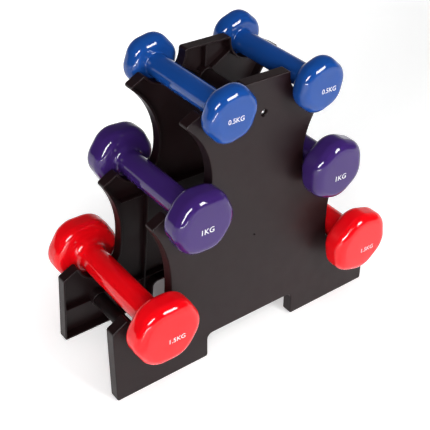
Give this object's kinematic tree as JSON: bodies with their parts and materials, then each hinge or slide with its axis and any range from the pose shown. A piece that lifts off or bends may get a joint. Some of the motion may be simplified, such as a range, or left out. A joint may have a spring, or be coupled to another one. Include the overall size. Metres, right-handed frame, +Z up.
{
  "type": "dumbbell rack",
  "caption": "Tiered A-shaped stand of two moulded side panels joined by cross tubes, holding three sizes of vinyl-coated dumbbells in paired cradles.",
  "frame": {"origin": "on the floor, under the middle of the stand", "axes": "+X across the stand along its panels, +Y from the front panel to the back panel along the weights' handles, +Z up"},
  "size_m": [0.314, 0.1678, 0.2945],
  "materials": {
    "black_plastic": "satin black moulding with a fine grain",
    "steel": "bright zinc-plated screw",
    "cast_iron": "raw casting",
    "blue_vinyl": "glossy dipped vinyl",
    "purple_vinyl": "glossy dipped vinyl",
    "red_vinyl": "glossy dipped vinyl"
  },
  "bodies": {
    "rack": {"front_panel": "black_plastic", "back_panel": "black_plastic", "top_cross_tube": "black_plastic", "lower_left_cross_tube": "black_plastic", "lower_right_cross_tube": "black_plastic", "top_front_screw": "steel", "top_back_screw": "steel", "lower_left_front_screw": "steel", "lower_left_back_screw": "steel", "lower_right_front_screw": "steel", "lower_right_back_screw": "steel"},
    "top_left_dumbbell": {"top_left_core": "cast_iron", "top_left_coat": "blue_vinyl"},
    "top_right_dumbbell": {"top_right_core": "cast_iron", "top_right_coat": "blue_vinyl"},
    "middle_left_dumbbell": {"middle_left_core": "cast_iron", "middle_left_coat": "purple_vinyl"},
    "middle_right_dumbbell": {"middle_right_core": "cast_iron", "middle_right_coat": "purple_vinyl"},
    "bottom_left_dumbbell": {"bottom_left_core": "cast_iron", "bottom_left_coat": "red_vinyl"},
    "bottom_right_dumbbell": {"bottom_right_core": "cast_iron", "bottom_right_coat": "red_vinyl"}
  },
  "joints": [
    {"name": "top_left_lift_out", "type": "slide", "parent": "rack", "child": "top_left_dumbbell", "axis": [0, 0, 1], "range_m": [0, 0.1]},
    {"name": "top_right_lift_out", "type": "slide", "parent": "rack", "child": "top_right_dumbbell", "axis": [0, 0, 1], "range_m": [0, 0.1]},
    {"name": "middle_left_lift_out", "type": "slide", "parent": "rack", "child": "middle_left_dumbbell", "axis": [-0.4226, 0, 0.9063], "range_m": [0, 0.12]},
    {"name": "middle_right_lift_out", "type": "slide", "parent": "rack", "child": "middle_right_dumbbell", "axis": [0.4226, 0, 0.9063], "range_m": [0, 0.12]},
    {"name": "bottom_left_lift_out", "type": "slide", "parent": "rack", "child": "bottom_left_dumbbell", "axis": [-0.342, 0, 0.9397], "range_m": [0, 0.13]},
    {"name": "bottom_right_lift_out", "type": "slide", "parent": "rack", "child": "bottom_right_dumbbell", "axis": [0.342, 0, 0.9397], "range_m": [0, 0.13]}
  ]
}
